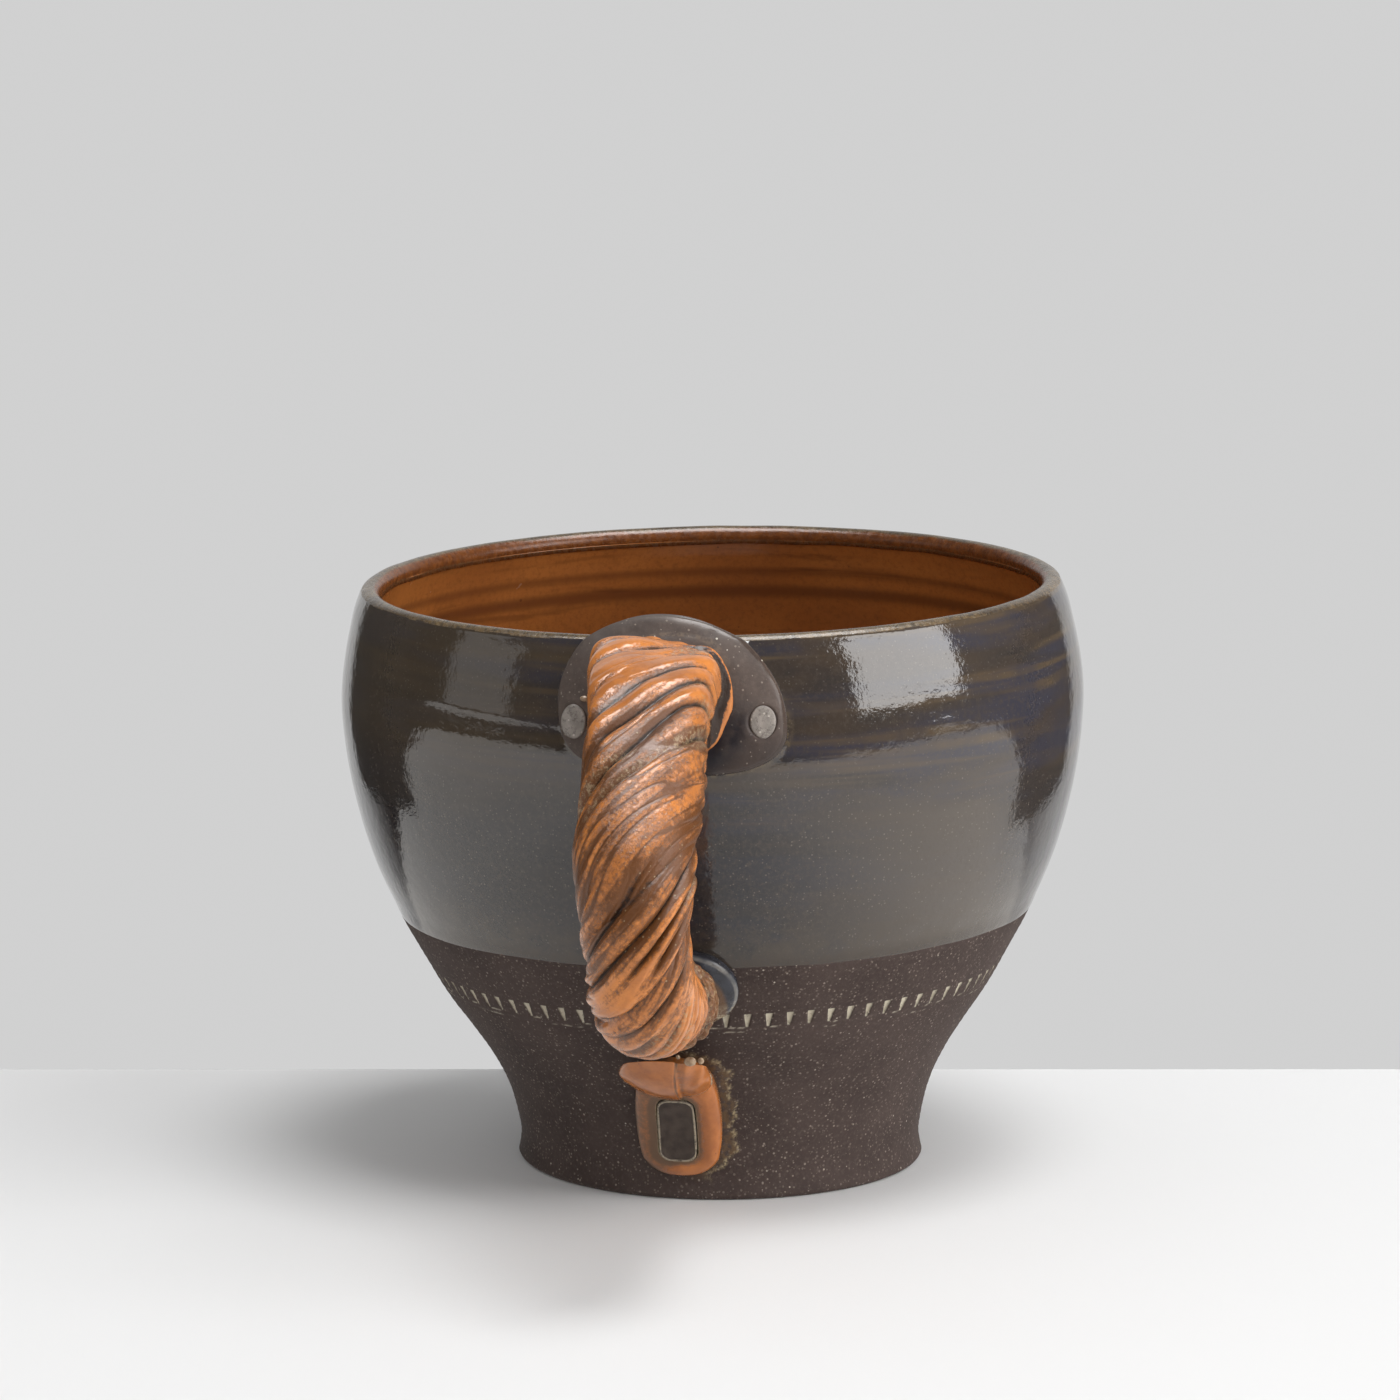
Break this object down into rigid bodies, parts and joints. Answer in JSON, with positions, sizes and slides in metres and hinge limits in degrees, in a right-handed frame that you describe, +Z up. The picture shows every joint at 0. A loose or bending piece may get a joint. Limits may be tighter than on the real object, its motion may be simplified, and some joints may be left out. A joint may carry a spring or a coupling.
{
  "type": "mug",
  "caption": "Wide thrown stoneware mug with a narrow waisted foot, glossy dark glaze over bare clay, an amber inside and a thick twisted rope handle.",
  "frame": {"origin": "centre of the flat foot, on the surface that the mug stands on", "axes": "+Z up; the handle points along -Y; +X is to the right when the handle is seen from outside"},
  "size_m": [0.12, 0.172, 0.0983],
  "materials": {
    "raw_stoneware": "unglazed dark stoneware, fine pale grog specks, matt",
    "dark_glaze": "glossy brown-black glaze breaking slate blue between brown throwing bands",
    "amber_glaze": "glossy amber-brown liner glaze with darker throwing rings",
    "pad_clay": "dark clay with pale grog specks, thinly glazed at the lower edge",
    "pale_clay": "bare pale clay, speckled, matt",
    "rust_glaze": "glossy rust-orange glaze, thick on the ridges and dark brown in the grooves",
    "slate_glaze": "glossy dark slate glaze",
    "lip_glaze": "satin rust glaze",
    "tongue_glaze": "satin rust glaze, browner beside the panel",
    "bare_panel": "bare near-black clay with a fine cream border"
  },
  "bodies": {
    "root": {"thrown_bowl": "raw_stoneware", "outer_glaze": "dark_glaze", "liner_glaze": "amber_glaze", "upper_pad": "pad_clay", "rivet_left": "pale_clay", "rivet_right": "pale_clay", "handle_twist": "rust_glaze", "lower_pad": "slate_glaze", "folded_lip": "lip_glaze", "tail_tongue": "tongue_glaze", "seal_panel": "bare_panel"}
  },
  "joints": []
}
